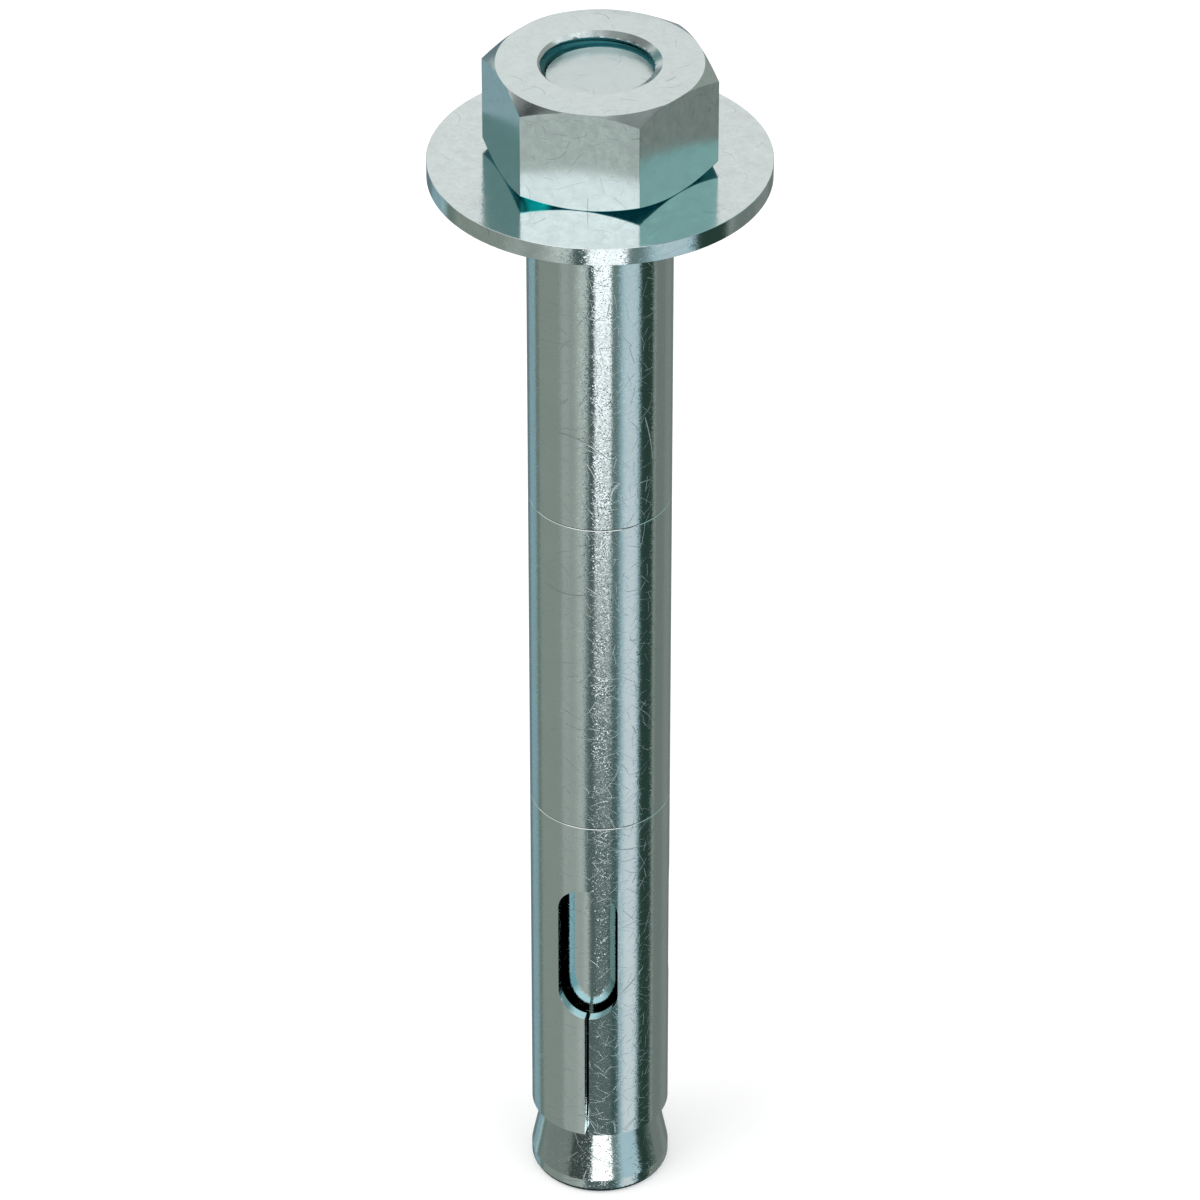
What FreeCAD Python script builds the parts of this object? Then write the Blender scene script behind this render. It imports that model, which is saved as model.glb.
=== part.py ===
import FreeCAD, Part
import os
from enum import IntEnum

import Sketcher
from FreeCAD import Vector

# Sleeve anchor, millimetres, standing on the flat end of its cone, +Z up the bolt.
# The origin is the centre of that flat end. One window of the expansion sleeve and
# one flat of the nut face -Y.

# Driving sizes: alias, value, what it measures.
SIZES = (
    ("shank_diameter", 6.9, "plain shank of the stud, the blank the thread is rolled on"),
    ("thread_depth", 0.08, "from the shank down to the core of the thread"),
    ("thread_length", 30.0, "threaded stretch, measured from the free end"),
    ("thread_clearance", 0.045, "radial, nut bore over thread core"),
    ("thread_runout", 0.5, "taper between shank and thread core"),
    ("end_recess", 0.9, "free end of the stud below the nut's top face"),
    ("land_overhang", 0.035, "radial, cylindrical land proud of the sleeves"),
    ("land_height", 1.11, "cylindrical land under the cone, from the flat end"),
    ("foot_rounding", 0.45, "radius of the land's lower edge"),
    ("cone_angle", 11.2, "degrees, cone surface to the axis"),
    ("sleeve_clearance", 0.48, "radial, sleeve bore over shank"),
    ("sleeve_wall", 0.735, "rolled sleeve wall"),
    ("seat_clearance", 0.02, "radial, lower sleeve rim over the cone it sits on"),
    ("sleeve_edge_break", 0.035, "chamfer on the sleeves' outer edges"),
    ("expansion_length", 26.185, "expansion sleeve"),
    ("spacer_length", 23.88, "each spacer sleeve"),
    ("seam_gap", 0.04, "axial play at each joint of the stack"),
    ("window_width", 4.07, "round-ended window in the expansion sleeve"),
    ("window_margin", 5.25, "window's upper end below the sleeve's top edge"),
    ("slit_length", 10.11, "window's lower end above the sleeve's bottom edge"),
    ("slit_width", 0.3, "slit from the window to the bottom edge"),
    ("window_count", 3, "windows round the sleeve, each with its slit"),
    ("washer_diameter", 21.75, "flat washer"),
    ("washer_thickness", 1.19, "flat washer"),
    ("washer_clearance", 0.75, "radial, washer hole over shank"),
    ("washer_edge_break", 0.02, "chamfer on the washer's outer edges"),
    ("nut_across_flats", 13.0, "hexagon nut"),
    ("nut_height", 6.84, "hexagon nut"),
    ("nut_face_step", 0.02, "radial, round end face of the nut over its flats"),
    ("nut_chamfer_angle", 31.0, "degrees, corner chamfers to the end faces"),
    ("countersink_width", 0.485, "radial, countersink at each end of the nut bore"),
    ("countersink_angle", 28.0, "degrees, countersink to the end face"),
)

# Radii that follow from the driving sizes.
SHANK_RADIUS = "sizes.shank_diameter / 2"
CORE_RADIUS = f"({SHANK_RADIUS} - sizes.thread_depth)"
SLEEVE_BORE_RADIUS = f"({SHANK_RADIUS} + sizes.sleeve_clearance)"
SLEEVE_RADIUS = f"({SLEEVE_BORE_RADIUS} + sizes.sleeve_wall)"
LAND_RADIUS = f"({SLEEVE_RADIUS} + sizes.land_overhang)"
WASHER_HOLE_RADIUS = f"({SHANK_RADIUS} + sizes.washer_clearance)"
WASHER_RADIUS = "sizes.washer_diameter / 2"
NUT_BORE_RADIUS = f"({CORE_RADIUS} + sizes.thread_clearance)"
NUT_CORNER_RADIUS = "(sizes.nut_across_flats / 2 / cos(30))"
NUT_FACE_RADIUS = "(sizes.nut_across_flats / 2 + sizes.nut_face_step)"

# Heights of the stack, from the cone's flat end upwards.
CONE_SLOPE = "tan(sizes.cone_angle)"
CONE_TOP = f"(sizes.land_height + ({LAND_RADIUS} - {SHANK_RADIUS}) / {CONE_SLOPE})"
SEAT_RADIUS = f"({SLEEVE_BORE_RADIUS} - sizes.seat_clearance)"
EXPANSION_BASE = f"(sizes.land_height + ({LAND_RADIUS} - {SEAT_RADIUS}) / {CONE_SLOPE})"
MIDDLE_BASE = f"({EXPANSION_BASE} + sizes.expansion_length + sizes.seam_gap)"
UPPER_BASE = f"({MIDDLE_BASE} + sizes.spacer_length + sizes.seam_gap)"
WASHER_BASE = f"({UPPER_BASE} + sizes.spacer_length + sizes.seam_gap)"
NUT_BASE = f"({WASHER_BASE} + sizes.washer_thickness + sizes.seam_gap)"
STUD_TOP = f"({NUT_BASE} + sizes.nut_height - sizes.end_recess)"
THREAD_START = f"({STUD_TOP} - sizes.thread_length)"


class Axis(IntEnum):
    """A sketch's own axes; the horizontal one starts at the origin."""

    HORIZONTAL = -1
    VERTICAL = -2


class Point(IntEnum):
    """Which point of a sketch line or arc is meant."""

    START = 1
    END = 2
    CENTRE = 3


def add_sizes(document):
    """Put the driving sizes into the document's spreadsheet."""
    sheet = document.addObject("Spreadsheet::Sheet", "sizes")
    for row, (alias, value, meaning) in enumerate(SIZES, start=1):
        sheet.set(f"A{row}", meaning)
        sheet.set(f"B{row}", str(value))
        sheet.setAlias(f"B{row}", alias)
    document.recompute()
    return sheet


def add_body(document, label, base="0"):
    """Start a piece, with its foot at the height that base gives."""
    body = document.addObject("PartDesign::Body", label)
    body.Label = label
    if base != "0":
        body.setExpression("Placement.Base.z", base)
    return body


def origin_feature(body, role):
    """Return the body's own origin plane or axis with that role."""
    for feature in body.Origin.OriginFeatures:
        if feature.Role == role:
            return feature
    raise ValueError(f"{body.Label} has no {role}")


def add_sketch(body, name, plane):
    """Add an empty sketch on one of the body's origin planes."""
    sketch = body.newObject("Sketcher::SketchObject", name)
    sketch.AttachmentSupport = [(origin_feature(body, plane), "")]
    sketch.MapMode = "FlatFace"
    body.Document.recompute()
    return sketch


def number(sketch, formula):
    """Work out a formula over the sheet as a plain number."""
    return float(sketch.evalExpression(formula))


def set_dimension(sketch, kind, *place, formula):
    """Add one dimension and bind it to a formula."""
    index = sketch.addConstraint(Sketcher.Constraint(kind, *place, number(sketch, formula)))
    name = f"{kind}_{index}"
    sketch.renameConstraint(index, name)
    sketch.setExpression(f"Constraints.{name}", formula)


def place_point(sketch, geometry, point, across, up):
    """Tie a point to the origin by its distances across and up."""
    if across == "0":
        sketch.addConstraint(Sketcher.Constraint("PointOnObject", geometry, point, Axis.VERTICAL))
    else:
        set_dimension(sketch, "DistanceX", Axis.HORIZONTAL, Point.START, geometry, point, formula=across)
    if up == "0":
        sketch.addConstraint(Sketcher.Constraint("PointOnObject", geometry, point, Axis.HORIZONTAL))
    else:
        set_dimension(sketch, "DistanceY", Axis.HORIZONTAL, Point.START, geometry, point, formula=up)


def join_ends(sketch, kind, earlier, later):
    """Tie the end of one line or arc to the start of the next."""
    sketch.addConstraint(Sketcher.Constraint(kind, earlier, Point.END, later, Point.START))


def draw_outline(sketch, corners):
    """Draw a closed outline of straight lines through (across, up) formulas."""
    points = [Vector(number(sketch, across), number(sketch, up), 0) for across, up in corners]
    first = sketch.GeometryCount
    count = len(points)
    for index, point in enumerate(points):
        sketch.addGeometry(Part.LineSegment(point, points[(index + 1) % count]), False)
    for index in range(count):
        join_ends(sketch, "Coincident", first + index, first + (index + 1) % count)
    for index, (across, up) in enumerate(corners):
        place_point(sketch, first + index, Point.START, across, up)


def turn(body, kind, name, *outlines):
    """Revolve outlines of the XZ plane about the Z axis, to add or to cut."""
    sketch = add_sketch(body, f"{name}_outline", "XZ_Plane")
    for corners in outlines:
        draw_outline(sketch, corners)
    body.Document.recompute()
    feature = body.newObject(f"PartDesign::{kind}", name)
    feature.Profile = sketch
    feature.ReferenceAxis = (sketch, ["V_Axis"])
    feature.Angle = 360
    body.Document.recompute()
    return feature


def cut_towards_front(body, name, sketch, depth):
    """Cut a sketch of the XZ plane from the axis out through the -Y side."""
    pocket = body.newObject("PartDesign::Pocket", name)
    pocket.Profile = sketch
    pocket.Type = "Length"
    pocket.Reversed = True
    pocket.setExpression("Length", depth)
    body.Document.recompute()
    return pocket


def outer_edge_at(feature, height):
    """Return the name of the widest round edge at that height."""
    edges = {}
    for index, edge in enumerate(feature.Shape.Edges, start=1):
        box = edge.BoundBox
        if edge.isClosed() and abs(box.ZMin - height) < 1e-6 and abs(box.ZMax - height) < 1e-6:
            edges[box.XLength] = f"Edge{index}"
    return edges[max(edges)]


def make_stud(document):
    """Threaded stud, cone and land in one turned and rolled piece."""
    body = add_body(document, "expander_stud")
    form = turn(
        body,
        "Revolution",
        "stud_form",
        (
            ("0", "0"),
            (LAND_RADIUS, "0"),
            (LAND_RADIUS, "sizes.land_height"),
            (SHANK_RADIUS, CONE_TOP),
            (SHANK_RADIUS, THREAD_START),
            (CORE_RADIUS, f"{THREAD_START} + sizes.thread_runout"),
            (CORE_RADIUS, STUD_TOP),
            ("0", STUD_TOP),
        ),
    )
    foot = body.newObject("PartDesign::Fillet", "foot")
    foot.Base = (form, [outer_edge_at(form, 0.0)])
    foot.setExpression("Radius", "sizes.foot_rounding")
    document.recompute()
    return body


def make_ring(document, label, base, bore_radius, outer_radius, length, edge_break):
    """Tube or ring about the axis, with its outer edges broken."""
    body = add_body(document, label, base)
    turn(
        body,
        "Revolution",
        f"{label}_wall",
        (
            (bore_radius, "0"),
            (f"{outer_radius} - {edge_break}", "0"),
            (outer_radius, edge_break),
            (outer_radius, f"{length} - {edge_break}"),
            (f"{outer_radius} - {edge_break}", length),
            (bore_radius, length),
        ),
    )
    return body


def draw_window(sketch):
    """Upright window with half-round ends, centred on the vertical axis."""
    radius = "sizes.window_width / 2"
    low = "sizes.slit_length + sizes.window_width / 2"
    high = "sizes.expansion_length - sizes.window_margin - sizes.window_width / 2"
    half = number(sketch, radius)
    bottom = Vector(0, number(sketch, low), 0)
    top = Vector(0, number(sketch, high), 0)
    side = Vector(half, 0, 0)
    rise = Vector(0, half, 0)
    lower_end = sketch.addGeometry(Part.Arc(bottom - side, bottom - rise, bottom + side), False)
    right = sketch.addGeometry(Part.LineSegment(bottom + side, top + side), False)
    upper_end = sketch.addGeometry(Part.Arc(top + side, top + rise, top - side), False)
    left = sketch.addGeometry(Part.LineSegment(top - side, bottom - side), False)
    for earlier, later in ((lower_end, right), (right, upper_end), (upper_end, left), (left, lower_end)):
        join_ends(sketch, "Tangent", earlier, later)
    place_point(sketch, lower_end, Point.CENTRE, "0", low)
    place_point(sketch, upper_end, Point.CENTRE, "0", high)
    set_dimension(sketch, "Radius", lower_end, formula=radius)


def draw_slit(sketch):
    """Narrow upright slit, centred on the vertical axis, from window to bottom edge."""
    half = number(sketch, "sizes.slit_width / 2")
    foot = -number(sketch, "sizes.slit_width")
    head = number(sketch, "sizes.slit_length + sizes.window_width / 2")
    corners = (
        Vector(-half, foot, 0),
        Vector(half, foot, 0),
        Vector(half, head, 0),
        Vector(-half, head, 0),
    )
    for index, corner in enumerate(corners):
        sketch.addGeometry(Part.LineSegment(corner, corners[(index + 1) % 4]), False)
    for index in range(4):
        join_ends(sketch, "Coincident", index, (index + 1) % 4)
    bottom, right, top, left = range(4)
    for side in (right, left):
        sketch.addConstraint(Sketcher.Constraint("Vertical", side))
    sketch.addConstraint(Sketcher.Constraint("Horizontal", top))
    sketch.addConstraint(
        Sketcher.Constraint("Symmetric", bottom, Point.START, bottom, Point.END, Axis.VERTICAL)
    )
    width = "sizes.slit_width"
    reach = "sizes.slit_length + sizes.window_width / 2"
    origin = (Axis.HORIZONTAL, Point.START)
    set_dimension(sketch, "DistanceX", bottom, Point.START, bottom, Point.END, formula=width)
    set_dimension(sketch, "DistanceY", bottom, Point.END, *origin, formula=width)
    set_dimension(sketch, "DistanceY", *origin, top, Point.START, formula=reach)


def make_expansion_sleeve(document):
    """Lower sleeve: windows and slits let its lower end spread over the cone."""
    body = make_ring(
        document,
        "expansion_sleeve",
        EXPANSION_BASE,
        SLEEVE_BORE_RADIUS,
        SLEEVE_RADIUS,
        "sizes.expansion_length",
        "sizes.sleeve_edge_break",
    )
    depth = f"{SLEEVE_RADIUS} + sizes.sleeve_wall"
    window_sketch = add_sketch(body, "window_outline", "XZ_Plane")
    draw_window(window_sketch)
    window = cut_towards_front(body, "window", window_sketch, depth)
    slit_sketch = add_sketch(body, "slit_outline", "XZ_Plane")
    draw_slit(slit_sketch)
    slit = cut_towards_front(body, "slit", slit_sketch, depth)
    pattern = body.newObject("PartDesign::PolarPattern", "windows")
    pattern.Originals = [window, slit]
    pattern.Axis = (origin_feature(body, "Z_Axis"), [""])
    pattern.Angle = 360
    pattern.setExpression("Occurrences", "sizes.window_count")
    body.Tip = pattern
    document.recompute()
    return body


def make_nut(document):
    """Hexagon nut, chamfered and countersunk at both ends."""
    body = add_body(document, "hex_nut", NUT_BASE)
    hexagon = body.newObject("PartDesign::AdditivePrism", "hexagon")
    hexagon.Polygon = 6
    hexagon.setExpression("Circumradius", NUT_CORNER_RADIUS)
    hexagon.setExpression("Height", "sizes.nut_height")
    document.recompute()

    beyond = f"{NUT_CORNER_RADIUS} + sizes.nut_across_flats / 10"
    drop = f"({beyond} - {NUT_FACE_RADIUS}) * tan(sizes.nut_chamfer_angle)"
    turn(
        body,
        "Groove",
        "corner_chamfers",
        (
            (NUT_FACE_RADIUS, "0"),
            (beyond, "0"),
            (beyond, drop),
        ),
        (
            (NUT_FACE_RADIUS, "sizes.nut_height"),
            (beyond, f"sizes.nut_height - {drop}"),
            (beyond, "sizes.nut_height"),
        ),
    )

    mouth = f"({NUT_BORE_RADIUS} + sizes.countersink_width)"
    depth = "(sizes.countersink_width * tan(sizes.countersink_angle))"
    turn(
        body,
        "Groove",
        "bore",
        (
            ("0", "0"),
            (mouth, "0"),
            (NUT_BORE_RADIUS, depth),
            (NUT_BORE_RADIUS, f"sizes.nut_height - {depth}"),
            (mouth, "sizes.nut_height"),
            ("0", "sizes.nut_height"),
        ),
    )
    return body


def check_document(document, bodies):
    """Stop if anything failed to build or a piece isn't one sound solid."""
    for item in document.Objects:
        if "Invalid" in item.State or "Error" in item.State:
            raise RuntimeError(f"{item.Label} failed: {item.State}")
    for body in bodies:
        shape = body.Shape
        if shape.isNull() or not shape.isValid() or len(shape.Solids) != 1:
            raise RuntimeError(f"{body.Label} isn't one sound solid")


def check_cuts(sheet, sleeve, nut):
    """Stop if a cut missed: each opening must be empty where it should be."""
    wall_middle = sheet.evalExpression(f"{SLEEVE_BORE_RADIUS} + sizes.sleeve_wall / 2")
    window_height = sheet.evalExpression(
        f"{EXPANSION_BASE} + (sizes.slit_length + sizes.expansion_length - sizes.window_margin) / 2"
    )
    slit_height = sheet.evalExpression(f"{EXPANSION_BASE} + sizes.slit_length / 2")
    for height in (window_height, slit_height):
        if sleeve.Shape.isInside(Vector(0, -float(wall_middle), float(height)), 0.001, True):
            raise RuntimeError("the expansion sleeve isn't open at the front")
    nut_middle = sheet.evalExpression(f"{NUT_BASE} + sizes.nut_height / 2")
    if nut.Shape.isInside(Vector(0, 0, float(nut_middle)), 0.001, True):
        raise RuntimeError("the nut isn't bored")


def main():
    """Build the anchor and write one file for each piece."""
    document = FreeCAD.newDocument("sleeve_anchor")
    sheet = add_sizes(document)
    stud = make_stud(document)
    expansion_sleeve = make_expansion_sleeve(document)
    spacers = [
        make_ring(
            document,
            label,
            base,
            SLEEVE_BORE_RADIUS,
            SLEEVE_RADIUS,
            "sizes.spacer_length",
            "sizes.sleeve_edge_break",
        )
        for label, base in (("middle_spacer", MIDDLE_BASE), ("upper_spacer", UPPER_BASE))
    ]
    washer = make_ring(
        document,
        "washer",
        WASHER_BASE,
        WASHER_HOLE_RADIUS,
        WASHER_RADIUS,
        "sizes.washer_thickness",
        "sizes.washer_edge_break",
    )
    nut = make_nut(document)
    document.recompute()

    bodies = [stud, expansion_sleeve, *spacers, washer, nut]
    check_document(document, bodies)
    check_cuts(sheet, expansion_sleeve, nut)
    os.makedirs("parts", exist_ok=True)
    for body in bodies:
        body.Shape.exportStep(f"parts/{body.Label}.step")
        box = body.Shape.BoundBox
        print(f"{body.Label}: {body.Shape.Volume:.1f} mm3, z {box.ZMin:.3f} to {box.ZMax:.3f}")


main()
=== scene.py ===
"""Sleeve anchor in bright blue-white zinc, standing on its cone end in a plain studio.

The turned, rolled and stamped pieces keep their CAD meshes and get a zinc finish.
The nut is made again with its inner thread, and the stud gets its rolled thread.
The pieces' sizes are millimetres and the studio's are metres.
"""

import logging
import math
from collections.abc import Callable
from dataclasses import dataclass, field
from enum import Enum
from functools import reduce

import bpy
import numpy as np
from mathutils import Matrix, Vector


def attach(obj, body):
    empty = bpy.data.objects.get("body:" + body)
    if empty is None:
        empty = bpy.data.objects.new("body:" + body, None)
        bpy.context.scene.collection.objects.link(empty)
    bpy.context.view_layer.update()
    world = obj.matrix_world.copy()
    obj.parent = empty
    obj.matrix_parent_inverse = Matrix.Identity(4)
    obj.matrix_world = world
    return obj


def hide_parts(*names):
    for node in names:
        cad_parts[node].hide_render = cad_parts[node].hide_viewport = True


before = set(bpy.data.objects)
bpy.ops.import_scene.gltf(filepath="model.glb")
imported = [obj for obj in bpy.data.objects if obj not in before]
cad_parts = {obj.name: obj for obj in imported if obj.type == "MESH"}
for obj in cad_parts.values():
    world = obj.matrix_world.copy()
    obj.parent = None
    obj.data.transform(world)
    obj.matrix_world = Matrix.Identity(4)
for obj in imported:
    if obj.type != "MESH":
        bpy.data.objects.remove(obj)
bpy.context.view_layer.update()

MM = 0.001
PER_METRE = 1000.0

LOG = logging.getLogger("sleeve_anchor")

Socket = bpy.types.NodeSocket
Value = Socket | float | tuple[float, ...]
Colour = tuple[float, float, float]
Mask = Callable[["Wiring", Socket], Socket]

# How far past an origin a mask is 0, and how far past it the mask is 1.
Fade = tuple[float, float]


class Wiring:
    """Writes shader nodes and their links into one node tree."""

    def __init__(self, tree: bpy.types.NodeTree) -> None:
        """Start on a tree."""
        self.tree = tree

    @classmethod
    def of(cls, owner: bpy.types.Material | bpy.types.World) -> "Wiring":
        """Start on the emptied node tree of a material or a world.

        Args:
            owner: The material or the world.

        Returns:
            The wiring of its tree.
        """
        owner.use_nodes = True
        owner.node_tree.nodes.clear()
        return cls(owner.node_tree)

    @classmethod
    def group(cls, name: str, inputs: dict[str, str], outputs: dict[str, str]) -> "Wiring":
        """Start a node group.

        Args:
            name: The group's name.
            inputs: Socket type for each input's name.
            outputs: Socket type for each output's name.

        Returns:
            The wiring of the new group's tree.
        """
        tree = bpy.data.node_groups.new(name, "ShaderNodeTree")
        for label, kind in inputs.items():
            tree.interface.new_socket(label, in_out="INPUT", socket_type=kind)
        for label, kind in outputs.items():
            tree.interface.new_socket(label, in_out="OUTPUT", socket_type=kind)
        return cls(tree)

    def feed(self, socket: Socket, value: Value) -> None:
        """Link a socket to another one, or set its value.

        Args:
            socket: The input to feed.
            value: The output that it reads, or the value that it keeps.
        """
        if isinstance(value, Socket):
            self.tree.links.new(value, socket)
        else:
            socket.default_value = value

    def node(self, kind: str, inputs: dict | None = None, **settings: object) -> bpy.types.Node:
        """Add a node.

        Args:
            kind: The node's Blender type.
            inputs: Value or source socket for each input, by name or number.
            **settings: The node's own properties.

        Returns:
            The new node.
        """
        made = self.tree.nodes.new(kind)
        for name, value in settings.items():
            setattr(made, name, value)
        for name, value in (inputs or {}).items():
            self.feed(made.inputs[name], value)
        return made

    def use(self, group: bpy.types.NodeTree, inputs: dict[str, Value]) -> bpy.types.Node:
        """Place a node group and feed its inputs."""
        return self.node("ShaderNodeGroup", inputs, node_tree=group)

    def math(self, operation: str, *values: Value) -> Socket:
        """Add a Math node and return its result."""
        return self.node("ShaderNodeMath", dict(enumerate(values)), operation=operation).outputs[0]

    def product(self, *values: Value) -> Socket:
        """Multiply numbers, one after the other, and return the result."""
        return reduce(lambda result, value: self.math("MULTIPLY", result, value), values)

    def vector(self, operation: str, *values: Value, scale: Value | None = None) -> Socket:
        """Add a Vector Math node.

        Args:
            operation: The operation's name.
            *values: The vectors that it works on.
            scale: The number that scales a vector.

        Returns:
            The socket of the vector, or of the number for a length or a dot product.
        """
        inputs = dict(enumerate(values))
        if scale is not None:
            inputs["Scale"] = scale
        made = self.node("ShaderNodeVectorMath", inputs, operation=operation)
        return made.outputs["Value" if operation in ("LENGTH", "DOT_PRODUCT") else "Vector"]

    def triple(self, value: Value) -> Socket:
        """Vector with one number in all three parts."""
        return self.node("ShaderNodeCombineXYZ", {"X": value, "Y": value, "Z": value}).outputs[0]

    def parts(self, vector: Socket) -> bpy.types.NodeOutputs:
        """The X, Y and Z of a vector."""
        return self.node("ShaderNodeSeparateXYZ", {0: vector}).outputs

    def between(
        self, value: Value, low: Value, high: Value, to_low: Value = 0.0, to_high: Value = 1.0
    ) -> Socket:
        """Map a value smoothly from one range to another, held at both ends.

        Args:
            value: The value to map.
            low: Where its range starts, which may be the larger end.
            high: Where its range ends.
            to_low: The result at the start of the range.
            to_high: The result at the end of the range.

        Returns:
            The socket of the result.
        """
        names = ("Value", "From Min", "From Max", "To Min", "To Max")
        inputs = dict(zip(names, (value, low, high, to_low, to_high)))
        made = self.node("ShaderNodeMapRange", inputs, interpolation_type="SMOOTHSTEP")
        return made.outputs["Result"]

    def fade(self, value: Value, origin: float, offsets: Fade) -> Socket:
        """Mask that goes from 0 to 1 between two offsets from an origin."""
        return self.between(value, origin + offsets[0], origin + offsets[1])

    def blend(self, share: Value, first: Value, second: Value) -> Socket:
        """Mix two colours by the second one's share."""
        inputs = {0: share, 6: first, 7: second}
        return self.node("ShaderNodeMix", inputs, data_type="RGBA").outputs[2]


def rgba(colour: Colour) -> tuple[float, float, float, float]:
    """The colour with full opacity."""
    return (*colour, 1.0)


def axis_distance(wiring: Wiring, place: Socket) -> Socket:
    """Distance of a place from the anchor's axis."""
    return wiring.vector("LENGTH", wiring.vector("MULTIPLY", place, (1.0, 1.0, 0.0)))


@dataclass(frozen=True)
class Card:
    """One sheet of paper or cloth of the studio, by the directions in which the metal sees it.

    Angles are in degrees. The azimuth is 0 towards the camera and positive to the
    picture's right; the height is above the horizon.
    """

    left: float
    right: float
    low: float
    high: float
    colour: Colour
    side_blur: float = 3.0
    end_blur: float = 3.0

    def inputs(self) -> dict[str, float]:
        """The card's angles, by the names of the mask group's inputs."""
        return {
            "Left": self.left,
            "Right": self.right,
            "Low": self.low,
            "High": self.high,
            "Side Blur": self.side_blur,
            "End Blur": self.end_blur,
        }


# The cards round the anchor, from the picture's left by way of the camera to its right.
# A later card covers an earlier one. The sleeves mirror them 31 to 39 degrees below the
# horizon, and the front of the cone, which leans back, about 17 degrees below it.
WALL = (
    Card(-200, -160, -90, 16, (0.30, 0.35, 0.36)),
    Card(-169, -140, -90, 16, (0.14, 0.20, 0.22), 4),
    Card(-149, -115, -90, 16, (0.25, 0.37, 0.41), 5),
    Card(-131, -118, -31, 16, (0.42, 0.58, 0.58), 4, 5),
    Card(-123, -100, -90, 16, (0.16, 0.20, 0.18), 4),
    Card(-112, -55, -90, 16, (0.265, 0.29, 0.262), 5),
    Card(-64, -30, -90, 16, (0.36, 0.38, 0.355), 5),
    Card(-50, -41, -36, 16, (0.31, 0.335, 0.31), 5, 5),
    Card(-112, -47, -27, 16, (0.195, 0.215, 0.20), 8, 8),
    Card(-36, -10, -90, 16, (0.43, 0.455, 0.43), 9),
    Card(-32, -10, -32.3, 16, (0.66, 0.685, 0.66), 7, 1.2),
    Card(-49, -10, -25, 16, (0.035, 0.05, 0.045), 7, 7),
    Card(-17.8, 38, -90, 16, (0.04, 0.08, 0.075), 4.5),
    Card(-24, 20, -90, -34.5, (0.09, 0.125, 0.12), 8, 4),
    Card(16, 36, -35.5, 16, (0.15, 0.215, 0.21), 5, 3),
    Card(-8, 18, -34, -11, (1.42, 1.38, 1.41), 3, 2.4),
    Card(-12, 19.5, -24, -11, (1.8, 1.7, 1.7), 5, 5),
    Card(-60, 60, -13, 16, (0.42, 0.44, 0.43), 20, 6),
    Card(33, 77, -90, 16, (0.45, 0.585, 0.645), 13),
    Card(40, 61, -90, -33, (0.70, 0.71, 0.745), 7, 4),
    Card(66, 102, -90, 16, (0.025, 0.05, 0.04), 8),
    Card(94, 112, -90, 16, (0.28, 0.305, 0.28), 5),
    Card(88, 120, -27, 16, (0.07, 0.10, 0.087), 8, 5),
    Card(100, 135, -90, 16, (0.185, 0.205, 0.19), 4),
    Card(126, 160, -90, 16, (0.225, 0.245, 0.23), 4),
    Card(150, 175, -90, 16, (0.17, 0.19, 0.18), 4),
    Card(167, 200, -90, 16, (0.27, 0.31, 0.33), 4),
    Card(-200, 200, -91, -52, (0.02, 0.03, 0.03), 1, 10),
)

# The cards over the anchor. The washer, the nut's top and the stud's end mirror them
# behind the anchor at 31 degrees, and the nut's chamfers and countersink over 50 degrees.
CEILING = (
    Card(-200, -112, 20, 36, (0.10, 0.215, 0.215), 8, 5),
    Card(-200, -152, 12, 50, (0.815, 0.80, 0.79), 5, 8),
    Card(-200, 200, 62, 91, (0.32, 0.33, 0.32), 1, 10),
    Card(-148, -95, 42, 66, (0.23, 0.235, 0.23), 8, 7),
    Card(-113, -70, 54, 72, (0.20, 0.22, 0.215), 6, 5),
    Card(-118, -105, 50, 62.5, (0.005, 0.008, 0.008), 3, 4),
    Card(-60, 40, 26, 60, (1.25, 1.14, 1.16), 10, 4),
    Card(70, 125, 16, 50, (0.31, 0.485, 0.48), 10, 6),
    Card(45, 150, 46, 91, (0.19, 0.205, 0.2), 12, 6),
    Card(122, 160, 2, 50, (0.31, 0.33, 0.305), 6, 6),
    Card(-60, 60, 72, 91, (0.30, 0.315, 0.31), 12, 8),
    Card(-200, 200, 85.5, 91, (0.80, 0.83, 0.83), 1, 6),
    Card(104, 112, 60, 66, (0.05, 0.06, 0.055), 4, 4),
    Card(112, 142, 63, 83, (1.2, 1.2, 1.2), 4, 4),
    Card(122, 142, 49, 65, (1.1, 1.1, 1.1), 4, 4),
)


@dataclass(frozen=True)
class Lamp:
    """One soft square lamp: its place and side in metres, and its power in watts."""

    name: str
    place: tuple[float, float, float]
    side: float
    power: float


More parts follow.
